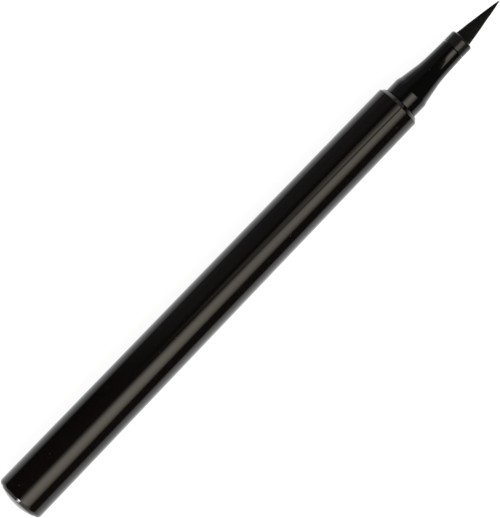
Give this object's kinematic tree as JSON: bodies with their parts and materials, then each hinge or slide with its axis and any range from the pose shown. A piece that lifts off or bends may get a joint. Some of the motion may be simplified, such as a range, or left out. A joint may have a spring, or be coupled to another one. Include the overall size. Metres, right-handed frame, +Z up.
{
  "type": "felt-tip liquid eyeliner pen",
  "caption": "Slim black felt-tip liquid eyeliner pen: tapered tube with a domed tail plug, stepped nose, front ring, pointed tip and a loose mixing ball in its ink tank.",
  "frame": {"origin": "middle of the foot of the bounding box, on the surface that the pen lies on", "axes": "+X along the pen from tail to tip, +Z up, +Y to the pen's left"},
  "size_m": [0.1292, 0.01, 0.01],
  "materials": {
    "barrel_black": "deep black, high gloss",
    "nose_black": "black, gloss with a slight haze",
    "inked_felt": "matte black bonded fibre, soaked with ink",
    "inked_fibre": "matte bonded fibre rod, soaked with ink",
    "milky_tank": "milky natural plastic",
    "white_moulding": "white satin moulding",
    "seal_rubber": "black rubber",
    "ball_steel": "polished steel"
  },
  "bodies": {
    "pen": {"barrel": "barrel_black", "tail_plug": "barrel_black", "nose_cone": "nose_black", "front_ring": "nose_black", "felt_tip": "inked_felt", "feed_wick": "inked_fibre", "ink_tank": "milky_tank", "tank_stopper": "white_moulding", "collector": "white_moulding", "stopper_o_ring": "seal_rubber", "nose_o_ring": "seal_rubber"},
    "loose_ball": {"mixing_ball": "ball_steel"}
  },
  "joints": [
    {"name": "ball_run", "type": "slide", "parent": "pen", "child": "loose_ball", "axis": [1, 0, 0], "range_m": [-0.0645, 0]}
  ]
}
